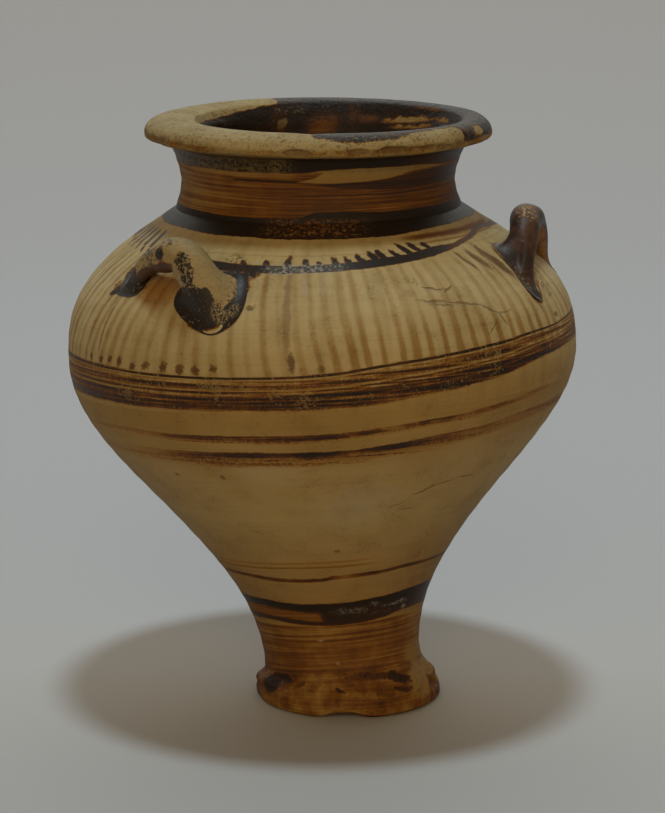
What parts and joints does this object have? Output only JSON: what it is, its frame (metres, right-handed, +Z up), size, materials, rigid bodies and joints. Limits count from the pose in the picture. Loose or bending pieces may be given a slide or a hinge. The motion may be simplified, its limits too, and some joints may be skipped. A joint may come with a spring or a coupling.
{
  "type": "piriform jar",
  "caption": "Wheel-made pear-shaped clay jar with a splayed foot, a short neck with a flared lip, and upright loop handles on the shoulder, painted in bands of slip.",
  "frame": {"origin": "on the resting plane, under the middle of the jar's bounding box", "axes": "+Z up, -Y towards the front that the picture shows, +X to the viewer's right"},
  "size_m": [0.1186, 0.1186, 0.1358],
  "materials": {
    "buff_clay": "burnished buff clay painted with bands, lines and strokes of brown-black slip, worn",
    "slip_wash": "thin orange-brown slip wash, worn through to the clay in patches",
    "worn_slip": "brown-black slip, mostly worn off the buff clay",
    "dark_slip": "lustrous brown-black slip, reddish where it is thin, with worn edges"
  },
  "bodies": {
    "root": {"foot": "slip_wash", "lower_body": "buff_clay", "shoulder": "buff_clay", "neck_and_rim": "dark_slip", "handle_front_left": "worn_slip", "handle_right": "dark_slip", "handle_back": "dark_slip"}
  },
  "joints": []
}
